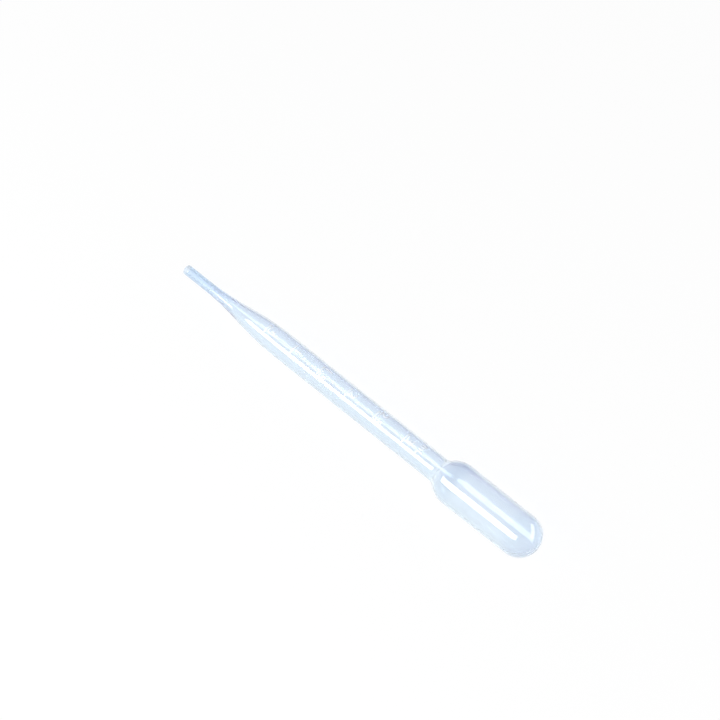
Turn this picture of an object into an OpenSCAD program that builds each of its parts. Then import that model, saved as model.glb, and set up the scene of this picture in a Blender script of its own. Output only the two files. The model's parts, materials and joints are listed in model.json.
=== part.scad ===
// Graduated transfer pipette of 3 ml, blow-moulded in one piece from soft, milky polyethylene.
//
// The pipette is drawn upright, with its tip on the origin and its axis along +Z, and is then
// laid down as it comes to rest: tip towards -X, bulb towards +X, lowest point on Z = 0, with the
// origin under the middle of its box.

/* [Lengths] */
// Whole length, from the open tip to the end of the bulb
length = 155; // [135:1:180]
// Straight tube at the tip
tip_len = 10; // [6:0.5:16]
// Taper between the tip and the stem
taper_len = 35; // [25:1:45]
// Bulb with its shoulder and dome, from the neck to the far end
bulb_len = 41; // [34:1:50]
// Shoulder between the neck and the bulb
shoulder_len = 8.4; // [7:0.1:11]

/* [Outside diameters] */
// Tip
tip_od = 3.2; // [2.8:0.1:4]
// Stem at its wide end, above the taper
stem_od = 8.2; // [7.4:0.1:9]
// Stem at the neck, under the bulb
neck_od = 7.9; // [7:0.1:9]
// Bulb at its shoulder
bulb_od = 13.6; // [12.4:0.1:15]
// Bulb where its dome starts
dome_od = 13.2; // [12:0.1:14]

/* [Bore and walls] */
// Bore of the tip
tip_bore = 2; // [1.4:0.1:2.4]
// Wall of the stem
stem_wall = 0.45; // [0.3:0.05:0.7]
// Wall of the bulb, which is blown thinner than the stem
bulb_wall = 0.4; // [0.3:0.05:0.6]

/* [Scale] */
// Volume from one mark to the next, in ml
mark_step = 0.5; // [0.25:0.25:1]
// Highest volume on the scale, in ml
scale_top = 3; // [1:0.5:3]
// Length of a mark around the stem
mark_len = 3; // [2:0.25:4]
// Width of a mark along the stem
mark_width = 0.5; // [0.3:0.05:0.8]
// How far a mark stands out
mark_rise = 0.15; // [0.1:0.01:0.25]

/* [Mould line] */
// Width of the line that the two halves of the mould leave
line_width = 0.4; // [0.2:0.05:0.6]
// How far the line stands out
line_rise = 0.08; // [0.05:0.01:0.15]

/* [Lying] */
// How far the scale is turned from straight up, towards the front
roll = 10; // [0:5:60]

/* [Hidden] */
$fa = 1;
$fs = 0.1;

// Share of the taper, and of the shoulder, that its hollow arc takes
taper_share = 0.5;
shoulder_share = 0.4;
// Steps that round an ogee
ogee_steps = 24;
// How far the bore's cutter reaches out of the tip
mouth = 1;
// Room between the highest mark and the neck
scale_margin = 4;
// Slices that measure the bore, and halvings that find a mark's place in it
slices = 60;
halvings = 16;

// Places along the axis, from the tip
stem_at = tip_len + taper_len;
neck_at = length - bulb_len;
bulb_at = neck_at + shoulder_len;
dome_at = length - dome_od / 2;

// An ogee leads from the radius r1 to the wider radius r2 over the length len: a hollow arc
// takes the given share of the length and a full arc takes the rest, and both run out parallel
// to the axis. These are the radii of its two arcs, its own radius at a distance from its start,
// and its outline from a place on the axis.
function both_arcs(r1, r2, len) = (len * len + (r2 - r1) * (r2 - r1)) / (2 * (r2 - r1));
function hollow_arc(r1, r2, len, share) = share * both_arcs(r1, r2, len);
function full_arc(r1, r2, len, share) = (1 - share) * both_arcs(r1, r2, len);
function ogee_radius(at, r1, r2, len, share) =
    let (hollow = hollow_arc(r1, r2, len, share), full = full_arc(r1, r2, len, share))
    at < share * len
        ? r1 + hollow - sqrt(hollow * hollow - at * at)
        : r2 - full + sqrt(full * full - (len - at) * (len - at));
function ogee(r1, r2, from, len, share) =
    [for (i = [0:ogee_steps]) let (at = len * i / ogee_steps)
        [ogee_radius(at, r1, r2, len, share), from + at]];

// Radius of the bore at a place below the neck
stem_bore_r = stem_od / 2 - stem_wall;
neck_bore_r = neck_od / 2 - stem_wall;
function bore_radius(at) =
    at < tip_len ? tip_bore / 2
    : at < stem_at ? ogee_radius(at - tip_len, tip_bore / 2, stem_bore_r, taper_len, taper_share)
    : stem_bore_r + (neck_bore_r - stem_bore_r) * (at - stem_at) / (neck_at - stem_at);

// What the bore holds below a place, in ml, and the place up to which it holds a volume
function total(list, i = 0) = i < len(list) ? list[i] + total(list, i + 1) : 0;
function holds(at) =
    let (slice = at / slices)
    total([for (i = [0.5:slices]) PI * pow(bore_radius(i * slice), 2) * slice]) / 1000;
function level(volume, low = 0, high = neck_at, n = halvings) =
    let (middle = (low + high) / 2)
    n == 0 ? middle
    : holds(middle) < volume ? level(volume, middle, high, n - 1)
    : level(volume, low, middle, n - 1);

// The pipette lies on two rings, where the taper runs out into the stem and where the shoulder
// runs out into the bulb. The surface touches the full arcs of both, which gives the axis its
// lean and its height at the tip.
stem_arc = full_arc(tip_od / 2, stem_od / 2, taper_len, taper_share);
bulb_arc = full_arc(neck_od / 2, bulb_od / 2, shoulder_len, shoulder_share);
stem_arc_centre = stem_od / 2 - stem_arc;
bulb_arc_centre = bulb_od / 2 - bulb_arc;
apart = [bulb_at - stem_at, stem_arc_centre - bulb_arc_centre];
lean = asin((bulb_arc - stem_arc) / norm(apart)) - atan2(apart[1], apart[0]);
tip_height = stem_arc + stem_arc_centre * cos(lean) - stem_at * sin(lean);

// Ends of the lying pipette, from the middle of its tip
tip_reach = -tip_od / 2 * sin(lean);
bulb_reach = dome_at * cos(lean) + dome_od / 2 + line_rise;

// Half-section of the whole pipette, from its radii
module section(tip_r, stem_r, neck_r, bulb_r, dome_r, start = 0) {
    polygon(concat(
        [[0, start], [tip_r, start]],
        ogee(tip_r, stem_r, tip_len, taper_len, taper_share),
        ogee(neck_r, bulb_r, neck_at, shoulder_len, shoulder_share),
        [[dome_r, dome_at], [0, dome_at]]
    ));
    translate([0, dome_at]) intersection() {
        circle(dome_r);
        square(dome_r);
    }
}

// The outside, raised evenly by rise
module outside(rise = 0) {
    rotate_extrude() section(
        tip_od / 2 + rise, stem_od / 2 + rise, neck_od / 2 + rise, bulb_od / 2 + rise, dome_od / 2 + rise
    );
}

// The hollow inside, open at the tip
module bore() {
    rotate_extrude() section(
        tip_bore / 2, stem_bore_r, neck_bore_r, bulb_od / 2 - bulb_wall, dome_od / 2 - bulb_wall, -mouth
    );
}

// What the shape in the braces cuts out of the raised outside
module raised(rise) {
    intersection() {
        outside(rise);
        children();
    }
}

// Marks across the front of the stem, each where the bore below it holds its volume
module scale_marks() {
    top = min(scale_top, holds(neck_at - scale_margin));
    for (volume = [mark_step:mark_step:top]) {
        raised(mark_rise)
            translate([0, -mark_len / 2, level(volume) - mark_width / 2])
                cube([stem_od, mark_len, mark_width]);
    }
}

// Line that runs up both sides from the taper and over the dome, a quarter turn from the marks.
// The straight tip is smooth, so that it passes through a round hole.
module mould_line() {
    raised(line_rise)
        translate([-line_width / 2, -bulb_od, tip_len])
            cube([line_width, 2 * bulb_od, length]);
}

module pipette() {
    color([0.85, 0.92, 0.98, 0.6])
        translate([-(tip_reach + bulb_reach) / 2, 0, tip_height])
            rotate([0, 90 - lean, 0])
                rotate([0, 0, 180 + roll])
                    difference() {
                        union() {
                            outside();
                            scale_marks();
                            mould_line();
                        }
                        bore();
                    }
}

pipette();
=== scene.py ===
import json
import math

import bpy
import numpy as np
from mathutils import Matrix, Vector


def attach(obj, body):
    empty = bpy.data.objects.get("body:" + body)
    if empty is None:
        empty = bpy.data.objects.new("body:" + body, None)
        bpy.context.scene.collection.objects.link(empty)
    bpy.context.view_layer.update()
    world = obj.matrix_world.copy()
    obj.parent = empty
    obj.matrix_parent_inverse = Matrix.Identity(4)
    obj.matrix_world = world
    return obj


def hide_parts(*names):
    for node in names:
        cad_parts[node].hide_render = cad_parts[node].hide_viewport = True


# Plastic dropper pipette: one blow-moulded shell of soft, milky polyethylene, open at the tip.
#
# The shell is drawn upright in its own frame, with the end of its tip on the origin, its axis
# along Z and its scale facing X, and is then laid down where the frame's mounts say. A station is
# a distance from the tip along the axis. Sizes are in millimetres and angles in degrees up to the
# point where a mesh or a node tree takes them.

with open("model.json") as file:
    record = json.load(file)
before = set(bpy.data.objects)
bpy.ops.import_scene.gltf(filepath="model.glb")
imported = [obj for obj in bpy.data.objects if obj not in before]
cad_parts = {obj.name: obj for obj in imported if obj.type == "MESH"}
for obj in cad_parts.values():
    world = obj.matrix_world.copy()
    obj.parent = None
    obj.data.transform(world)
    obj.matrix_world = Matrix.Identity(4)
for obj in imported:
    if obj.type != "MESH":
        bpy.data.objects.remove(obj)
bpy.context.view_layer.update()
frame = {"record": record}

MM = 0.001
WHITE = (1, 1, 1, 1)

# ---------------------------------------------------------------- sizes of the moulding

mounts = {mount["name"]: mount for mount in frame["record"]["mounts"]}
TIP_RADIUS = mounts["tip_outside"]["dims"]["r_mm"]
TIP_BORE_RADIUS = mounts["tip_bore"]["dims"]["r_mm"]
TIP_LENGTH = mounts["tip_outside"]["dims"]["length_mm"]
LENGTH = 155.0
TAPER_LENGTH = 35.0
BULB_LENGTH = 41.0
SHOULDER_LENGTH = 8.4
STEM_RADIUS = 4.1
NECK_RADIUS = 3.95
BULB_RADIUS = 6.8
DOME_RADIUS = 6.6
STEM_WALL = 0.45
BULB_WALL = 0.4
TAPER_HOLLOW = 0.5
SHOULDER_HOLLOW = 0.4
TIP_ROUNDING = 0.14

STEM_AT = TIP_LENGTH + TAPER_LENGTH
NECK_AT = LENGTH - BULB_LENGTH
BULB_AT = NECK_AT + SHOULDER_LENGTH
DOME_AT = LENGTH - DOME_RADIUS

# Volumes of the scale in millilitres
MARK_STEP = 0.5
SCALE_TOP = 3.0
CUBIC_MM_PER_ML = 1000

# Scale, turned from straight up towards the front. A mark has a flat core, and its edge falls away
# on both sides, so that its width is met at half its rise.
SCALE_TURN = 10.0
MARK_LENGTH = 3.0
MARK_WIDTH = 0.5
MARK_EDGE = 0.3
MARK_CORE = MARK_WIDTH - MARK_EDGE
MARK_END_ROUNDING = 0.45 * MARK_CORE
MARK_RISE = 0.15
NUMBER_HEIGHT = 2.8
NUMBER_GAP = 0.75
UNIT_HEIGHT = 0.8 * NUMBER_HEIGHT
UNIT_GAP = 5.8

# Lettering: a capital's height in a text of size 1, and how much thinner its strokes are made,
# as a share of that height
CAPITAL_SHARE = 0.7
STROKE_THINNING = 0.035

# Mould line, up both sides
LINE_WIDTH = 0.4
LINE_RISE = 0.08
LINE_TURNS = (-90.0, 90.0)

# Unevenness of the blown wall, which only the inside shows
WAVE_HEIGHT = 0.02
WAVE_LENGTH = 4.0
WAVE_STRETCH = 2.5

# Spacing of the wall's rows along the pipette
TIP_ROW = 1.2
TAPER_ROW = 0.8
STEM_ROW = 1.5
SHOULDER_ROW = 0.3
BULB_ROW = 1.5
SCALE_ROW = 0.11
DOME_ROWS = 21
RIM_ROWS = 6

# Spacing of its columns around the axis, and how far each close stretch reaches to both sides
COLUMN = 4.0
SCALE_COLUMN = 1.1
SCALE_REACH = 29.0
LINE_COLUMN = 0.8
LINE_REACH = 5.0

# ---------------------------------------------------------------- finish of the plastic

# Two tones each of the low and the high side of the wall, and the heights between which they change.
# This is painted light and shade: the low side is painted lighter, the high side darker and less
# green.
LIT_LOW_TONES = (0.857, 0.921, 0.938, 1), (0.882, 0.935, 0.951, 1)
SHADED_HIGH_TONES = (0.848, 0.884, 0.924, 1), (0.873, 0.897, 0.937, 1)
LIT_HEIGHT = 1.0
SHADED_HEIGHT = 11.0

# Darker places: the dome, and, as painted shade, the high side of the shoulder up to a distance from
# its middle
DOME_TINT = (0.822, 0.867, 0.917, 1)
DOME_TINT_FROM = DOME_AT - 3
DOME_TINT_FULL = DOME_AT + 1
SHOULDER_SHADE = (0.745, 0.8, 0.87, 1)
SHOULDER_SHADE_AT = BULB_AT + 0.5
SHOULDER_SHADE_FULL = 0.5
SHOULDER_SHADE_REACH = 5.0

# Light that the inside of the wall takes up
DEPTH_TINT = (0.2, 0.5, 0.72, 1)
DEPTH_DENSITY = 140.0

# Haze of the tip, full up to one station and gone at the other: its share in the wall's look, and
# the share of light that goes straight through it
HAZE_FULL = 0.6 * TIP_LENGTH
HAZE_END = 2.8 * TIP_LENGTH
HAZE_SHARE = 0.88
HAZE_CLEARNESS = 0.88
HAZE_TINT = (0.62, 0.72, 0.84, 1)
HAZE_CLEAR_TINT = (0.93, 0.957, 0.984, 1)

# Frost of the raised scale: its share where it is full, from this share of the relief's height up
FROST_TINT = (0.84, 0.88, 0.93, 1)
FROST_SHARE = 0.7
FROST_FULL = 0.5

# Roughness of the bare wall, and what clouds, haze and relief add to it
WALL_ROUGHNESS = 0.015
CLOUD_ROUGHNESS = 0.02
HAZE_ROUGHNESS = 0.3
RELIEF_ROUGHNESS = 0.2

# Clouds of tone, and lines drawn out along the pipette, by the number of their cells to the metre
CLOUD_SCALE = 160
DRAWN_SCALE = 900
DRAWN_STRETCH = 20
DRAWN_HEIGHT = 0.1
DRAWN_STRENGTH = 0.1

# Shadow rays go straight through the shell and keep a light tint. So do rays after too many
# bounces or mirrorings, of which the haze takes one less.
MOST_BOUNCES = 8
MOST_MIRRORINGS = 1.5
SHADOW_TINT = (0.9, 0.94, 0.98, 1)

# ---------------------------------------------------------------- lying place

out_of_tip = Vector(mounts["tip_outside"]["axis"])
tip_middle = Vector(mounts["tip_outside"]["pos_m"])
axis = -out_of_tip
tip_place = tip_middle + out_of_tip * TIP_LENGTH / 2 * MM

upward = Vector((0, 0, 1))
top = (upward - axis * upward.dot(axis)).normalized()
front = axis.cross(top)
turned = math.radians(SCALE_TURN)
scale_side = top * math.cos(turned) + front * math.sin(turned)
LYING = Matrix.Translation(tip_place) @ Matrix(
    (scale_side, axis.cross(scale_side), axis)
).transposed().to_4x4()


# ---------------------------------------------------------------- profile

def ogee(at, radius_1, radius_2, length, hollow_share):
    """Radius at a distance along the curve of two arcs that leads to a wider stretch."""
    rise = radius_2 - radius_1
    both = (length ** 2 + rise ** 2) / (2 * rise)
    hollow = hollow_share * both
    full = (1 - hollow_share) * both
    in_hollow = np.clip(at, 0, hollow_share * length)
    in_full = np.clip(length - at, 0, (1 - hollow_share) * length)
    return np.where(
        at < hollow_share * length,
        radius_1 + hollow - np.sqrt(hollow ** 2 - in_hollow ** 2),
        radius_2 - full + np.sqrt(full ** 2 - in_full ** 2),
    )


class Surface:
    """One side of the wall, by its radii, from the tip up to where its dome starts."""

    def __init__(self, tip, stem, neck, bulb, dome):
        self.tip = tip
        self.stem = stem
        self.neck = neck
        self.bulb = bulb
        self.dome = dome

    def radius(self, station):
        """Radius at each station."""
        station = np.asarray(station, float)
        on_stem = (station - STEM_AT) / (NECK_AT - STEM_AT)
        on_bulb = (station - BULB_AT) / (DOME_AT - BULB_AT)
        taper = ogee(station - TIP_LENGTH, self.tip, self.stem, TAPER_LENGTH, TAPER_HOLLOW)
        shoulder = ogee(station - NECK_AT, self.neck, self.bulb, SHOULDER_LENGTH, SHOULDER_HOLLOW)
        return np.select(
            [station <= TIP_LENGTH, station <= STEM_AT, station <= NECK_AT, station <= BULB_AT],
            [self.tip, taper, self.stem + (self.neck - self.stem) * on_stem, shoulder],
            self.bulb + (self.dome - self.bulb) * on_bulb,
        )


OUTSIDE = Surface(TIP_RADIUS, STEM_RADIUS, NECK_RADIUS, BULB_RADIUS, DOME_RADIUS)
INSIDE = Surface(
    TIP_BORE_RADIUS,
    STEM_RADIUS - STEM_WALL,
    NECK_RADIUS - STEM_WALL,
    BULB_RADIUS - BULB_WALL,
    DOME_RADIUS - BULB_WALL,
)


def mark_places():
    """Volume and station of each mark, where the bore below it holds that volume in ml."""
    fine = np.linspace(0, NECK_AT, 4000)
    area = math.pi * INSIDE.radius(fine) ** 2
    slices = (area[1:] + area[:-1]) / 2 * np.diff(fine)
    held = np.concatenate([[0], np.cumsum(slices)]) / CUBIC_MM_PER_ML
    volumes = np.arange(MARK_STEP, SCALE_TOP + MARK_STEP / 2, MARK_STEP)
    return [(volume, float(np.interp(volume, held, fine))) for volume in volumes]


# ---------------------------------------------------------------- node tree helpers

def add(tree, kind, links=None, **settings):
    """New node with its settings, and its inputs linked to sockets or set to values."""
    node = tree.nodes.new(kind)
    for name, value in settings.items():
        setattr(node, name, value)
    for name, value in (links or {}).items():
        socket = node.inputs[name]
        if isinstance(value, bpy.types.NodeSocket):
            tree.links.new(value, socket)
        else:
            socket.default_value = value
    return node


def maths(tree, operation, *values):
    """Result of a math node on sockets or numbers."""
    return add(tree, "ShaderNodeMath", dict(enumerate(values)), operation=operation).outputs[0]


def ramp(tree, value, start, end):
    """0 up to where a value reaches the start, evenly up to 1 at the end."""
    return add(
        tree, "ShaderNodeMapRange", {"Value": value, "From Min": start, "From Max": end}
    ).outputs["Result"]


def fade(tree, value, start, end):
    """1 up to where a value reaches the start, smoothly down to 0 at the end."""
    return add(
        tree,
        "ShaderNodeMapRange",
        {"Value": value, "From Min": start, "From Max": end, "To Min": 1.0, "To Max": 0.0},
        interpolation_type="SMOOTHSTEP",
    ).outputs["Result"]


def blend(tree, share, start, end):
    """Colour between two, by a share."""
    return add(
        tree, "ShaderNodeMix", {0: share, 6: start, 7: end}, data_type="RGBA", clamp_factor=True
    ).outputs[2]


def mix_shaders(tree, share, start, end):
    """Shader between two, by a share."""
    return add(tree, "ShaderNodeMixShader", {0: share, 1: start, 2: end}).outputs[0]


def plain_shader(tree, kind, colour):
    """Shader that has nothing but a colour."""
    return add(tree, kind, {"Color": colour}).outputs[0]


def noise(tree, place, scale, detail):
    """Soft random pattern at a place."""
    return add(
        tree,
        "ShaderNodeTexNoise",
        {"Vector": place, "Scale": scale, "Detail": detail, "Roughness": 0.5},
    ).outputs["Fac"]


def empty_material(name):
    """New material whose node tree is still empty."""
    material = bpy.data.materials.new(name)
    material.use_nodes = True
    material.node_tree.nodes.clear()
    return material


def new_geometry_tree(name, inputs):
    """Geometry node tree with a geometry in, a geometry out and the named inputs."""
    tree = bpy.data.node_groups.new(name, "GeometryNodeTree")
    tree.interface.new_socket("Geometry", in_out="INPUT", socket_type="NodeSocketGeometry")
    for label, kind in inputs:
        tree.interface.new_socket(label, in_out="INPUT", socket_type=kind)
    tree.interface.new_socket("Geometry", in_out="OUTPUT", socket_type="NodeSocketGeometry")
    return tree


def attribute(tree, name):
    """A stored number of each vertex."""
    return add(
        tree, "GeometryNodeInputNamedAttribute", {"Name": name}, data_type="FLOAT"
    ).outputs["Attribute"]


def finish_geometry_tree(tree, geometry, material):
    """Ends a tree with plain meshes that have their material."""
    plain = add(tree, "GeometryNodeRealizeInstances", {"Geometry": geometry})
    painted = add(
        tree, "GeometryNodeSetMaterial", {"Geometry": plain.outputs[0], "Material": material}
    )
    add(tree, "NodeGroupOutput", {"Geometry": painted.outputs[0]})


def link(thing):
    """Puts an object into the scene."""
    bpy.context.scene.collection.objects.link(thing)
    return thing


def evaluated_mesh(carrier):
    """Plain mesh of an object as its text and modifiers make it."""
    depsgraph = bpy.context.evaluated_depsgraph_get()
    return bpy.data.meshes.new_from_object(carrier.evaluated_get(depsgraph), depsgraph=depsgraph)


def through_tree(mesh, tree, values):
    """Plain mesh that a tree makes of a mesh with the given inputs."""
    carrier = link(bpy.data.objects.new(mesh.name, mesh))
    modifier = carrier.modifiers.new(tree.name, "NODES")
    modifier.node_group = tree
    inputs = [item for item in tree.interface.items_tree if item.in_out == "INPUT"]
    identifiers = {item.name: item.identifier for item in inputs}
    for name, value in values.items():
        modifier[identifiers[name]] = value
    made = evaluated_mesh(carrier)
    made.name = mesh.name
    carrier.modifiers.clear()
    bpy.data.objects.remove(carrier)
    return made


# ---------------------------------------------------------------- material

def tint_and_painted_shade(tree, cloud, station, height):
    """Clouded tint with painted light and shade that changes with the height, lighter low down and
    darker high up, darker in the dome, and with painted shade high on the shoulder.
    """
    # Painted light and shade: the low side of the wall lighter, the high side darker
    shade_by_height = ramp(tree, height, LIT_HEIGHT * MM, SHADED_HEIGHT * MM)
    low = blend(tree, cloud, *LIT_LOW_TONES)
    high = blend(tree, cloud, *SHADED_HIGH_TONES)
    tint = blend(tree, shade_by_height, low, high)
    in_dome = ramp(tree, station, DOME_TINT_FROM * MM, DOME_TINT_FULL * MM)
    tint = blend(tree, in_dome, tint, DOME_TINT)
    # Painted shade on the high side of the shoulder
    apart = maths(tree, "ABSOLUTE", maths(tree, "SUBTRACT", station, SHOULDER_SHADE_AT * MM))
    shoulder_shade = fade(tree, apart, SHOULDER_SHADE_FULL * MM, SHOULDER_SHADE_REACH * MM)
    return blend(tree, maths(tree, "MULTIPLY", shoulder_shade, shade_by_height), tint, SHOULDER_SHADE)


def drawn_lines(tree, level):
    """Normal with fine lines drawn out along the pipette."""
    drawn = add(
        tree, "ShaderNodeMapping", {"Vector": level, "Scale": (1 / DRAWN_STRETCH, 1, 1)}
    ).outputs[0]
    lines = noise(tree, drawn, DRAWN_SCALE, detail=2)
    return add(
        tree,
        "ShaderNodeBump",
        {"Height": lines, "Strength": DRAWN_STRENGTH, "Distance": DRAWN_HEIGHT * MM},
    ).outputs[0]


def goes_straight(tree, rays, haze):
    """1 for a shadow ray, and for one that has been bent or mirrored too often to come out light."""
    late = maths(tree, "GREATER_THAN", rays["Ray Depth"], MOST_BOUNCES)
    most_mirrorings = maths(tree, "SUBTRACT", MOST_MIRRORINGS, haze)
    trapped = maths(tree, "GREATER_THAN", rays["Glossy Depth"], most_mirrorings)
    return maths(tree, "MAXIMUM", rays["Is Shadow Ray"], maths(tree, "MAXIMUM", late, trapped))


def polyethylene():
    """Milky, glossy plastic, soft and hazy at the tip and frosted on the raised scale."""
    material = empty_material("polyethylene")
    tree = material.node_tree
    place = add(tree, "ShaderNodeTexCoord").outputs["Object"]
    relief = add(tree, "ShaderNodeAttribute", attribute_name="relief").outputs["Fac"]
    cloud = noise(tree, place, CLOUD_SCALE, detail=3)

    # The place with the leaning pipette turned level, so that X runs along its axis
    level = add(
        tree,
        "ShaderNodeVectorRotate",
        {"Vector": place, "Angle": math.atan2(axis.z, axis.x)},
        rotation_type="Y_AXIS",
    ).outputs[0]
    parts = add(tree, "ShaderNodeSeparateXYZ", {"Vector": level}).outputs
    station = maths(tree, "SUBTRACT", parts["X"], tip_place.dot(axis))
    haze = fade(tree, station, HAZE_FULL * MM, HAZE_END * MM)

    rough = maths(tree, "MULTIPLY_ADD", cloud, CLOUD_ROUGHNESS, WALL_ROUGHNESS)
    rough = maths(tree, "MULTIPLY_ADD", haze, HAZE_ROUGHNESS, rough)
    rough = maths(tree, "MULTIPLY_ADD", relief, RELIEF_ROUGHNESS, rough)
    clear = add(
        tree,
        "ShaderNodeBsdfPrincipled",
        {
            "Base Color": tint_and_painted_shade(tree, cloud, station, parts["Z"]),
            "Roughness": rough,
            "IOR": 1.5,
            "Transmission Weight": 0.94,
            "Normal": drawn_lines(tree, level),
        },
    ).outputs[0]
    haze_body = plain_shader(tree, "ShaderNodeBsdfDiffuse", HAZE_TINT)
    haze_clear = plain_shader(tree, "ShaderNodeBsdfTransparent", HAZE_CLEAR_TINT)
    soft = mix_shaders(tree, HAZE_CLEARNESS, haze_body, haze_clear)
    shell = mix_shaders(tree, maths(tree, "MULTIPLY", haze, HAZE_SHARE), clear, soft)
    frosted = maths(tree, "MULTIPLY", ramp(tree, relief, 0.0, FROST_FULL), FROST_SHARE)
    frost = plain_shader(tree, "ShaderNodeBsdfDiffuse", FROST_TINT)
    shell = mix_shaders(tree, frosted, shell, frost)

    rays = add(tree, "ShaderNodeLightPath").outputs
    through_tint = blend(tree, rays["Is Shadow Ray"], WHITE, SHADOW_TINT)
    through = plain_shader(tree, "ShaderNodeBsdfTransparent", through_tint)
    surface = mix_shaders(tree, goes_straight(tree, rays, haze), shell, through)
    depth = add(
        tree, "ShaderNodeVolumeAbsorption", {"Color": DEPTH_TINT, "Density": DEPTH_DENSITY}
    )
    add(tree, "ShaderNodeOutputMaterial", {"Surface": surface, "Volume": depth.outputs[0]})
    return material


# ---------------------------------------------------------------- scale, laid out flat

def mark_tree(material):
    """Tree that sets a bar with round ends at each point."""
    tree = new_geometry_tree(
        "Scale marks",
        [
            ("Mark Length", "NodeSocketFloat"),
            ("Mark Width", "NodeSocketFloat"),
            ("End Rounding", "NodeSocketFloat"),
        ],
    )
    given = add(tree, "NodeGroupInput").outputs
    bar = add(
        tree,
        "GeometryNodeCurvePrimitiveQuadrilateral",
        {"Width": given["Mark Length"], "Height": given["Mark Width"]},
    )
    rounded = add(
        tree,
        "GeometryNodeFilletCurve",
        {"Curve": bar.outputs[0], "Radius": given["End Rounding"], "Count": 6},
        mode="POLY",
    )
    filled = add(tree, "GeometryNodeFillCurve", {"Curve": rounded.outputs[0]})
    row = add(
        tree,
        "GeometryNodeInstanceOnPoints",
        {"Points": given["Geometry"], "Instance": filled.outputs[0]},
    )
    finish_geometry_tree(tree, row.outputs[0], material)
    return tree


def flat_words(words, station, height):
    """Flat mesh, in metres, of words that stand on a station, centred on the scale."""
    curve = bpy.data.curves.new("scale_words", "FONT")
    curve.body = words
    curve.align_x = "CENTER"
    curve.size = height / CAPITAL_SHARE
    curve.resolution_u = 4
    curve.offset = -height * STROKE_THINNING
    carrier = link(bpy.data.objects.new("scale_words", curve))
    mesh = evaluated_mesh(carrier)
    bpy.data.objects.remove(carrier)
    mesh.transform(Matrix.Scale(MM, 4) @ Matrix.Translation((0, station, 0)))
    return mesh


def join(name, meshes):
    """One mesh of several."""
    points = []
    faces = []
    for mesh in meshes:
        start = len(points)
        points += [vertex.co.copy() for vertex in mesh.vertices]
        faces += [[start + corner for corner in face.vertices] for face in mesh.polygons]
    joined = bpy.data.meshes.new(name)
    joined.from_pydata(points, [], faces)
    return joined


def flat_scale(material):
    """The marks, their numbers and the unit laid out flat: X around the stem, Y along it."""
    marks = mark_places()
    points = bpy.data.meshes.new("mark_points")
    points.from_pydata([(0, station * MM, 0) for volume, station in marks], [], [])
    bars = through_tree(
        points,
        mark_tree(material),
        {
            "Mark Length": MARK_LENGTH * MM,
            "Mark Width": MARK_CORE * MM,
            "End Rounding": MARK_END_ROUNDING * MM,
        },
    )
    words = [
        flat_words(f"{volume:g}".lstrip("0"), station + NUMBER_GAP, NUMBER_HEIGHT)
        for volume, station in marks
    ]
    words.append(flat_words("mL", marks[-1][1] + UNIT_GAP, UNIT_HEIGHT))
    return join("flat_scale", [bars] + words)


# ---------------------------------------------------------------- wall

def steps(start, end, step):
    """Evenly spaced values from start up to, but without, end."""
    count = max(1, round((end - start) / step))
    return np.linspace(start, end, count, endpoint=False)


def with_fine_stretches(coarse, stretches, step):
    """Values with those inside each stretch replaced by closely spaced ones."""
    for start, end in stretches:
        coarse = coarse[(coarse < start) | (coarse > end)]
        coarse = np.concatenate([coarse, np.arange(start, end + step / 2, step)])
    return np.sort(coarse)


def scale_stretches():
    """First and last station of each mark with its number, and of the last mark up to the unit."""
    stations = [station for volume, station in mark_places()]
    stretches = [
        (station - MARK_WIDTH, station + NUMBER_GAP + NUMBER_HEIGHT + MARK_EDGE)
        for station in stations[:-1]
    ]
    stretches.append((stations[-1] - MARK_WIDTH, stations[-1] + UNIT_GAP + NUMBER_HEIGHT))
    return stretches


def side_rows(side, fine_stretches):
    """Station and radius of each row on one side of the wall, from the tip to short of its pole."""
    stations = np.concatenate(
        [
            steps(TIP_ROUNDING, TIP_LENGTH, TIP_ROW),
            steps(TIP_LENGTH, STEM_AT, TAPER_ROW),
            steps(STEM_AT, NECK_AT, STEM_ROW),
            steps(NECK_AT, BULB_AT, SHOULDER_ROW),
            steps(BULB_AT, DOME_AT, BULB_ROW),
        ]
    )
    stations = with_fine_stretches(stations, fine_stretches, SCALE_ROW)
    turn = np.linspace(0, math.pi / 2, DOME_ROWS, endpoint=False)
    dome_stations = DOME_AT + side.dome * np.sin(turn)
    dome_radii = side.dome * np.cos(turn)
    radii = np.concatenate([side.radius(stations), dome_radii])
    return np.concatenate([stations, dome_stations]), radii


def wall_rows():
    """Rows from the dome outside, over the tip's rim, to the dome inside, with an outside flag.

    The rows of the rim take the place of each side's first row.
    """
    out_station, out_radius = side_rows(OUTSIDE, scale_stretches())
    in_station, in_radius = side_rows(INSIDE, [])
    turn = np.linspace(0, math.pi / 2, RIM_ROWS)
    rim_station = TIP_ROUNDING * (1 - np.sin(turn))
    outer_rim = TIP_RADIUS - TIP_ROUNDING * (1 - np.cos(turn))
    inner_rim = TIP_BORE_RADIUS + TIP_ROUNDING * (1 - np.cos(turn))
    station = np.concatenate([out_station[:0:-1], rim_station, rim_station[::-1], in_station[1:]])
    radius = np.concatenate([out_radius[:0:-1], outer_rim, inner_rim[::-1], in_radius[1:]])
    outside = np.zeros(len(station))
    outside[: len(out_station) - 1] = 1
    return station, radius, outside


def column_turns():
    """Angles around the axis, close together at the scale and at the mould line."""
    turns = np.arange(-180, 180, COLUMN)
    turns = with_fine_stretches(turns, [(-SCALE_REACH, SCALE_REACH)], SCALE_COLUMN)
    line_stretches = [(turn - LINE_REACH, turn + LINE_REACH) for turn in LINE_TURNS]
    return np.radians(with_fine_stretches(turns, line_stretches, LINE_COLUMN))


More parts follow.
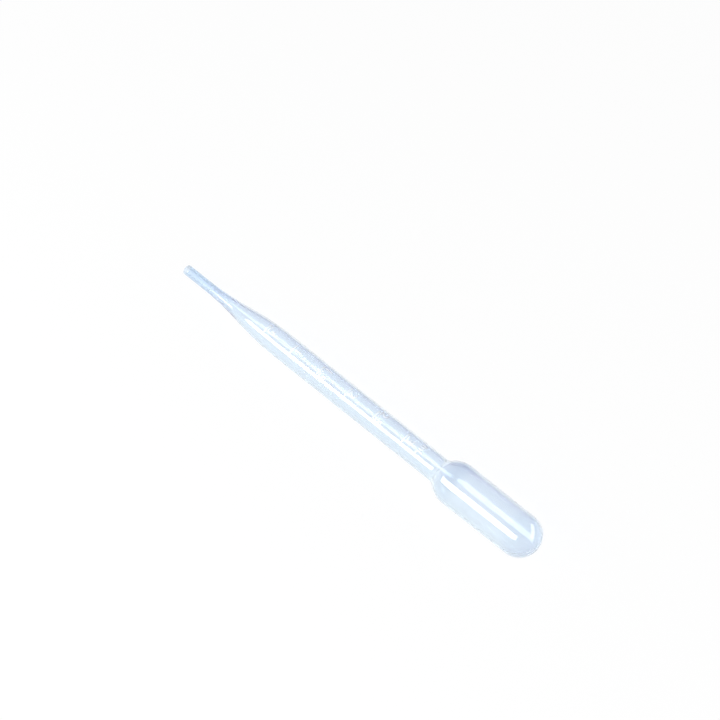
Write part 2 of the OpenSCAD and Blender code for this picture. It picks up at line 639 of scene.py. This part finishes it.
def unwrapped_wall():
    """Closed mesh of the wall's rows, with what each vertex needs to find its place."""
    station, radius, outside = wall_rows()
    turns = column_turns()
    rows = len(station)
    columns = len(turns)
    outer_pole = rows * columns
    inner_pole = outer_pole + 1

    grid = np.arange(rows * columns).reshape(rows, columns)
    beside = np.roll(grid, -1, axis=1)
    quads = np.stack([grid[:-1], grid[1:], beside[1:], beside[:-1]], axis=-1).reshape(-1, 4)
    faces = quads.tolist()
    for column in range(columns):
        faces.append([outer_pole, int(grid[0, column]), int(beside[0, column])])
        faces.append([inner_pole, int(beside[-1, column]), int(grid[-1, column])])

    slope_station = np.gradient(station)
    slope_radius = np.gradient(radius)
    size = np.hypot(slope_station, slope_radius)
    normal_across = -slope_station / size
    normal_along = slope_radius / size

    def spread(values, outer, inner):
        """Values of the rows at each of their vertices, with those of the two poles."""
        return np.concatenate([np.repeat(values, columns), [outer, inner]])

    guides = {
        "station": spread(station, LENGTH, LENGTH - BULB_WALL) * MM,
        "radius": spread(radius, 0, 0) * MM,
        "outside": spread(outside, 1, 0),
        "normal_across": spread(normal_across, 0, 0),
        "normal_along": spread(normal_along, 1, 0),
        "turn": np.concatenate([np.tile(turns, rows), [0, 0]]),
    }
    mesh = bpy.data.meshes.new("pipette_shell")
    points = np.stack([guides["radius"], guides["turn"], guides["station"]], axis=-1)
    mesh.from_pydata(points.tolist(), [], faces)
    for name, values in guides.items():
        mesh.attributes.new(name, "FLOAT", "POINT").data.foreach_set("value", values)
    return mesh


def wall_tree(material):
    """Tree that wraps the rows round the axis and raises the scale and the mould line."""
    tree = new_geometry_tree(
        "Moulded wall",
        [
            ("Flat Scale", "NodeSocketObject"),
            ("Scale Radius", "NodeSocketFloat"),
            ("Mark Rise", "NodeSocketFloat"),
            ("Mark Edge", "NodeSocketFloat"),
            ("Line Width", "NodeSocketFloat"),
            ("Line Rise", "NodeSocketFloat"),
            ("Line Start", "NodeSocketFloat"),
            ("Wave Height", "NodeSocketFloat"),
            ("Wave Length", "NodeSocketFloat"),
            ("Wave Stretch", "NodeSocketFloat"),
        ],
    )
    given = add(tree, "NodeGroupInput").outputs
    station = attribute(tree, "station")
    radius = attribute(tree, "radius")
    turn = attribute(tree, "turn")
    outside = attribute(tree, "outside")

    cosine = maths(tree, "COSINE", turn)
    sine = maths(tree, "SINE", turn)

    def place_at(distance, along):
        """Place at a distance from the axis and at the vertex's own turn."""
        x = maths(tree, "MULTIPLY", distance, cosine)
        y = maths(tree, "MULTIPLY", distance, sine)
        return add(tree, "ShaderNodeCombineXYZ", {"X": x, "Y": y, "Z": along}).outputs[0]

    # Scale: how near the vertex is to a mark or a number when the stem is laid out flat
    around = maths(tree, "MULTIPLY", turn, given["Scale Radius"])
    flat_place = add(tree, "ShaderNodeCombineXYZ", {"X": around, "Y": station}).outputs[0]
    flat = add(tree, "GeometryNodeObjectInfo", {"Object": given["Flat Scale"]})
    apart = add(
        tree,
        "GeometryNodeProximity",
        {"Geometry": flat.outputs["Geometry"], "Sample Position": flat_place},
        target_element="FACES",
    ).outputs["Distance"]
    on_scale = fade(tree, apart, 0.0, given["Mark Edge"])
    scale_rise = maths(tree, "MULTIPLY", on_scale, given["Mark Rise"])

    # Mould line: how near the vertex is to the plane between the scale's half and the other half
    from_line = maths(tree, "ABSOLUTE", maths(tree, "MULTIPLY", radius, cosine))
    on_line = fade(tree, from_line, 0.0, maths(tree, "MULTIPLY", given["Line Width"], 0.5))
    line_rise = maths(tree, "MULTIPLY", on_line, given["Line Rise"])
    past_tip = maths(tree, "GREATER_THAN", station, given["Line Start"])
    line_rise = maths(tree, "MULTIPLY", line_rise, past_tip)

    # Waves of the inside, longer along the pipette than around it
    wave_place = place_at(radius, maths(tree, "DIVIDE", station, given["Wave Stretch"]))
    wave_scale = maths(tree, "DIVIDE", 1.0, given["Wave Length"])
    wave = noise(tree, wave_place, wave_scale, detail=0)
    wave_rise = maths(tree, "MULTIPLY", maths(tree, "SUBTRACT", wave, 0.5), given["Wave Height"])

    raised = maths(tree, "MAXIMUM", scale_rise, line_rise)
    rise = add(
        tree, "ShaderNodeMix", {"Factor": outside, "A": wave_rise, "B": raised}, data_type="FLOAT"
    ).outputs["Result"]
    distance = maths(tree, "MULTIPLY_ADD", rise, attribute(tree, "normal_across"), radius)
    along = maths(tree, "MULTIPLY_ADD", rise, attribute(tree, "normal_along"), station)
    wrapped = add(
        tree,
        "GeometryNodeSetPosition",
        {"Geometry": given["Geometry"], "Position": place_at(distance, along)},
    )
    marked = add(
        tree,
        "GeometryNodeStoreNamedAttribute",
        {
            "Geometry": wrapped.outputs[0],
            "Name": "relief",
            "Value": maths(tree, "MULTIPLY", on_scale, outside),
        },
        data_type="FLOAT",
        domain="POINT",
    )
    smooth = add(tree, "GeometryNodeSetShadeSmooth", {"Geometry": marked.outputs[0]})
    finish_geometry_tree(tree, smooth.outputs[0], material)
    return tree


def make_pipette(material):
    """The moulded shell, lying in its place."""
    scale = link(bpy.data.objects.new("flat_scale", flat_scale(material)))
    wall = unwrapped_wall()

    # What the tree places the vertices by, and the finished mesh doesn't keep
    guides = [item.name for item in wall.attributes if item.data_type == "FLOAT"]
    mesh = through_tree(
        wall,
        wall_tree(material),
        {
            "Flat Scale": scale,
            "Scale Radius": STEM_RADIUS * MM,
            "Mark Rise": MARK_RISE * MM,
            "Mark Edge": MARK_EDGE * MM,
            "Line Width": LINE_WIDTH * MM,
            "Line Rise": LINE_RISE * MM,
            "Line Start": TIP_LENGTH * MM,
            "Wave Height": WAVE_HEIGHT * MM,
            "Wave Length": WAVE_LENGTH * MM,
            "Wave Stretch": WAVE_STRETCH,
        },
    )
    bpy.data.objects.remove(scale)
    for name in guides:
        mesh.attributes.remove(mesh.attributes[name])
    mesh.transform(LYING)
    return link(bpy.data.objects.new("pipette_shell", mesh))


# ---------------------------------------------------------------- stage, in metres

# Floor, and how much of plain white each kind of ray sees in it in place of lit paper
FLOOR_REACH = 3.0
PAPER = (0.92, 0.92, 0.92, 1)
FLOOR_WHITE = {"Is Camera Ray": 0.93, "Is Glossy Ray": 0.9, "Is Transmission Ray": 0.7}

# Room in mirrored and bent rays: white low down, under a ceiling that gets dark as the direction
# rises, sooner towards the rear
CEILING = (0.2, 0.06, 0.32, 1)
REAR_OF_ROOM = (-0.752, 0.659, 0)
REAR_SHARE = 0.45
CEILING_START = 0.1
CEILING_FULL = 0.55
DAYLIGHT = (0.95, 0.97, 1, 1)
DAYLIGHT_STRENGTH = 0.2


def make_floor():
    """White floor that keeps a faint shadow, which shows more in mirrored and bent rays."""
    mesh = bpy.data.meshes.new("floor")
    corners = [(-1, -1), (1, -1), (1, 1), (-1, 1)]
    points = [(x * FLOOR_REACH, y * FLOOR_REACH, 0) for x, y in corners]
    mesh.from_pydata(points, [], [(0, 1, 2, 3)])
    material = empty_material("floor_white")
    tree = material.node_tree
    paper = plain_shader(tree, "ShaderNodeBsdfDiffuse", PAPER)
    glow = plain_shader(tree, "ShaderNodeEmission", WHITE)
    rays = add(tree, "ShaderNodeLightPath").outputs
    share = 0.0
    for kind, white in FLOOR_WHITE.items():
        share = maths(tree, "MULTIPLY_ADD", rays[kind], white, share)
    add(tree, "ShaderNodeOutputMaterial", {"Surface": mix_shaders(tree, share, paper, glow)})
    mesh.materials.append(material)
    return link(bpy.data.objects.new("floor", mesh))


def make_world():
    """White backdrop, with a dark violet ceiling in mirrored and bent rays, and faint daylight."""
    world = bpy.data.worlds.new("studio")
    bpy.context.scene.world = world
    world.use_nodes = True
    tree = world.node_tree
    tree.nodes.clear()
    rays = add(tree, "ShaderNodeLightPath").outputs
    direction = add(tree, "ShaderNodeTexCoord").outputs["Generated"]
    height = add(tree, "ShaderNodeSeparateXYZ", {"Vector": direction}).outputs["Z"]
    to_rear = add(
        tree, "ShaderNodeVectorMath", {0: direction, 1: REAR_OF_ROOM}, operation="DOT_PRODUCT"
    ).outputs["Value"]
    to_rear = maths(tree, "MAXIMUM", to_rear, 0.0)
    overhead = maths(tree, "MULTIPLY_ADD", to_rear, REAR_SHARE, height)
    room = blend(tree, ramp(tree, overhead, CEILING_START, CEILING_FULL), WHITE, CEILING)
    mirrored = maths(tree, "MAXIMUM", rays["Is Glossy Ray"], rays["Is Transmission Ray"])
    shown = plain_shader(tree, "ShaderNodeBackground", blend(tree, mirrored, WHITE, room))
    light = add(
        tree, "ShaderNodeBackground", {"Color": DAYLIGHT, "Strength": DAYLIGHT_STRENGTH}
    ).outputs[0]
    seen = maths(tree, "MAXIMUM", rays["Is Camera Ray"], mirrored)
    add(tree, "ShaderNodeOutputWorld", {"Surface": mix_shaders(tree, seen, light, shown)})


def make_softbox(name, direction, distance, width, length, radiance):
    """Flat white lamp that faces the pipette, with its long side along it."""
    facing = Vector(direction).normalized()
    long_side = (axis - facing * axis.dot(facing)).normalized()
    short_side = long_side.cross(facing)
    lamp = bpy.data.lights.new(name, "AREA")
    lamp.shape = "RECTANGLE"
    lamp.size = width
    lamp.size_y = length
    lamp.energy = radiance * math.pi * width * length
    box = link(bpy.data.objects.new(name, lamp))
    box.matrix_world = Matrix.Translation(facing * distance) @ Matrix(
        (short_side, long_side, facing)
    ).transposed().to_4x4()
    box.visible_camera = False


def make_camera(azimuth, elevation, distance, target, lens):
    """Camera that looks at a point from an azimuth and an elevation in degrees."""
    turn = math.radians(azimuth)
    rise = math.radians(elevation)
    back = Vector(
        (math.sin(turn) * math.cos(rise), -math.cos(turn) * math.cos(rise), math.sin(rise))
    )
    data = bpy.data.cameras.new("camera")
    data.lens = lens
    camera = link(bpy.data.objects.new("camera", data))
    camera.location = Vector(target) + back * distance
    camera.rotation_mode = "QUATERNION"
    camera.rotation_quaternion = (-back).to_track_quat("-Z", "Y")
    bpy.context.scene.camera = camera


# ---------------------------------------------------------------- scene

shell = make_pipette(polyethylene())
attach(shell, "root")
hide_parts("pipette")

make_floor()
make_world()
make_softbox(
    "strip_softbox",
    direction=(-0.174, -0.841, 0.513),
    distance=0.6,
    width=0.3,
    length=1.05,
    radiance=7.2,
)
make_softbox(
    "rear_softbox",
    direction=(0.66, 0.63, 0.4),
    distance=0.65,
    width=0.22,
    length=0.7,
    radiance=3.5,
)
make_camera(
    azimuth=48.8,
    elevation=46.0,
    distance=0.998,
    target=(-0.01213, 0.01294, 0.005),
    lens=168.2,
)

bpy.context.scene.view_settings.view_transform = "Standard"
